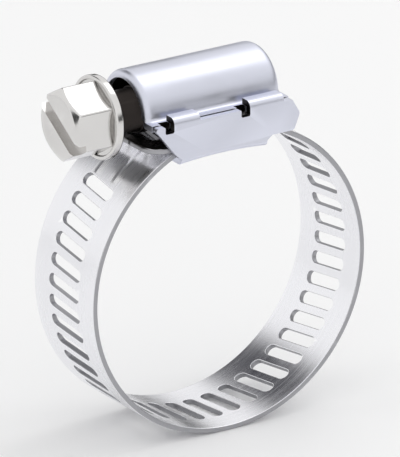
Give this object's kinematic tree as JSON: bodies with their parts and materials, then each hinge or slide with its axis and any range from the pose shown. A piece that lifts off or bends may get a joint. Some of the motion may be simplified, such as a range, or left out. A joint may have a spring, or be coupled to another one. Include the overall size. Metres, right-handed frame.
{
  "type": "hose clamp",
  "caption": "Worm-drive hose clamp: a slotted steel band in a ring, drawn tight by a hexagon-head worm screw in a two-piece housing.",
  "frame": {"origin": "centre of the ring that the band makes, on the hose's axis, in the middle of the band's width", "axes": "+Y along the hose, +Z from the hose's axis up through the middle of the ring's opening to the screw, -X the way the screw's head points"},
  "size_m": [0.0383, 0.0146, 0.0449],
  "materials": {
    "housing_steel": "satin stainless steel sheet",
    "band_steel": "bright stainless steel strip",
    "screw_steel": "polished steel"
  },
  "bodies": {
    "housing": {"housing_cover": "housing_steel", "saddle": "housing_steel", "band_fixed_end": "band_steel"},
    "screw": {"worm_screw": "screw_steel"},
    "link_01": {"band_link_01": "band_steel"},
    "link_02": {"band_link_02": "band_steel"},
    "link_03": {"band_link_03": "band_steel"},
    "link_04": {"band_link_04": "band_steel"},
    "link_05": {"band_link_05": "band_steel"},
    "link_06": {"band_link_06": "band_steel"},
    "link_07": {"band_link_07": "band_steel"},
    "link_08": {"band_link_08": "band_steel"},
    "link_09": {"band_link_09": "band_steel"},
    "link_10": {"band_link_10": "band_steel"},
    "link_11": {"band_link_11": "band_steel"},
    "link_12": {"band_link_12": "band_steel"},
    "free_end": {"band_free_end": "band_steel"}
  },
  "joints": [
    {"name": "screw_turn", "type": "hinge", "parent": "housing", "child": "screw", "pos_m": [0, 0, 0.02105], "axis": [1, 0, 0], "range_deg": [-360, 360]},
    {"name": "band_slide", "type": "slide", "parent": "housing", "child": "free_end", "axis": [-1, 0, 0], "range_m": [-0.00252, 0.00252]},
    {"name": "band_bend_01", "type": "hinge", "parent": "housing", "child": "link_01", "pos_m": [-0.00896, 0, 0.01619], "axis": [0, 1, 0], "range_deg": [-1.83, 1.83]},
    {"name": "band_bend_02", "type": "hinge", "parent": "link_01", "child": "link_02", "pos_m": [-0.01465, 0, 0.01129], "axis": [0, 1, 0], "range_deg": [-0.99, 0.99]},
    {"name": "band_bend_03", "type": "hinge", "parent": "link_02", "child": "link_03", "pos_m": [-0.01793, 0, 0.00454], "axis": [0, 1, 0], "range_deg": [-0.084, 0.084]},
    {"name": "band_bend_04", "type": "hinge", "parent": "link_03", "child": "link_04", "pos_m": [-0.01826, 0, -0.00296], "axis": [0, 1, 0], "range_deg": [-0.53, 0.53]},
    {"name": "band_bend_05", "type": "hinge", "parent": "link_04", "child": "link_05", "pos_m": [-0.01558, 0, -0.00997], "axis": [0, 1, 0], "range_deg": [-0.79, 0.79]},
    {"name": "band_bend_06", "type": "hinge", "parent": "link_05", "child": "link_06", "pos_m": [-0.01034, 0, -0.01534], "axis": [0, 1, 0], "range_deg": [-0.71, 0.71]},
    {"name": "band_bend_08", "type": "hinge", "parent": "link_08", "child": "link_07", "pos_m": [0.00412, 0, -0.01804], "axis": [0, 1, 0], "range_deg": [-1.11, 1.11]},
    {"name": "band_bend_09", "type": "hinge", "parent": "link_09", "child": "link_08", "pos_m": [0.01095, 0, -0.01491], "axis": [0, 1, 0], "range_deg": [-1.44, 1.44]},
    {"name": "band_bend_10", "type": "hinge", "parent": "link_10", "child": "link_09", "pos_m": [0.01597, 0, -0.00934], "axis": [0, 1, 0], "range_deg": [-1.18, 1.18]},
    {"name": "band_bend_11", "type": "hinge", "parent": "link_11", "child": "link_10", "pos_m": [0.01837, 0, -0.00222], "axis": [0, 1, 0], "range_deg": [-0.392, 0.392]},
    {"name": "band_bend_12", "type": "hinge", "parent": "link_12", "child": "link_11", "pos_m": [0.01774, 0, 0.00526], "axis": [0, 1, 0], "range_deg": [-0.95, 0.95]},
    {"name": "band_bend_13", "type": "hinge", "parent": "free_end", "child": "link_12", "pos_m": [0.01419, 0, 0.01188], "axis": [0, 1, 0], "range_deg": [-2.27, 2.27]}
  ],
  "couplings": [
    {"joint": "screw_turn", "follows": "band_slide", "rad_per_m": 2493.3},
    {"joint": "band_bend_01", "follows": "band_slide", "rad_per_m": 12.507},
    {"joint": "band_bend_02", "follows": "band_slide", "rad_per_m": 6.6887},
    {"joint": "band_bend_03", "follows": "band_slide", "rad_per_m": 0.44329},
    {"joint": "band_bend_04", "follows": "band_slide", "rad_per_m": -3.5396},
    {"joint": "band_bend_05", "follows": "band_slide", "rad_per_m": -5.3489},
    {"joint": "band_bend_06", "follows": "band_slide", "rad_per_m": -4.7653},
    {"joint": "band_bend_08", "follows": "band_slide", "rad_per_m": 7.5555},
    {"joint": "band_bend_09", "follows": "band_slide", "rad_per_m": 9.8588},
    {"joint": "band_bend_10", "follows": "band_slide", "rad_per_m": 8.0342},
    {"joint": "band_bend_11", "follows": "band_slide", "rad_per_m": 2.5781},
    {"joint": "band_bend_12", "follows": "band_slide", "rad_per_m": -6.4205},
    {"joint": "band_bend_13", "follows": "band_slide", "rad_per_m": -15.621}
  ]
}
